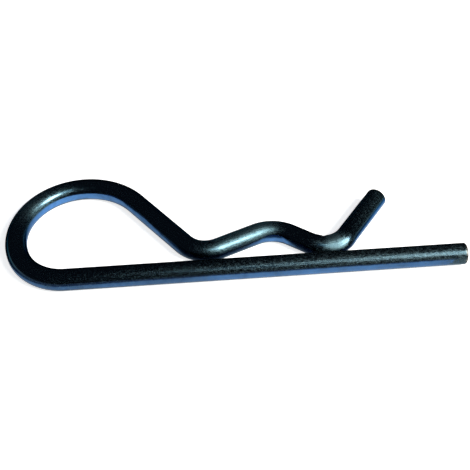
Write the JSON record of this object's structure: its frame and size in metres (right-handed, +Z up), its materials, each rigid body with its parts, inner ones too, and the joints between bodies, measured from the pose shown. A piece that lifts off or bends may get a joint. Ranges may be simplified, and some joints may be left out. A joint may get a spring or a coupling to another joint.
{
  "type": "hitch r clip pin",
  "caption": "Sprung wire R-clip that locks a hitch pin: a straight leg for the cross hole, an open loop to pull it by, and a waved arm that snaps over the outside of the shaft.",
  "frame": {"origin": "middle of the clip's box in plan, on the surface that the clip lies on", "axes": "+X along the straight leg towards its free end, +Y across the clip from the leg to the arm, +Z up through the wire"},
  "size_m": [0.105, 0.0334, 0.005],
  "materials": {
    "spring_steel": "blackened with a blue sheen, smooth drawn wire"
  },
  "bodies": {
    "root": {"wire_clip": "spring_steel"}
  },
  "joints": []
}
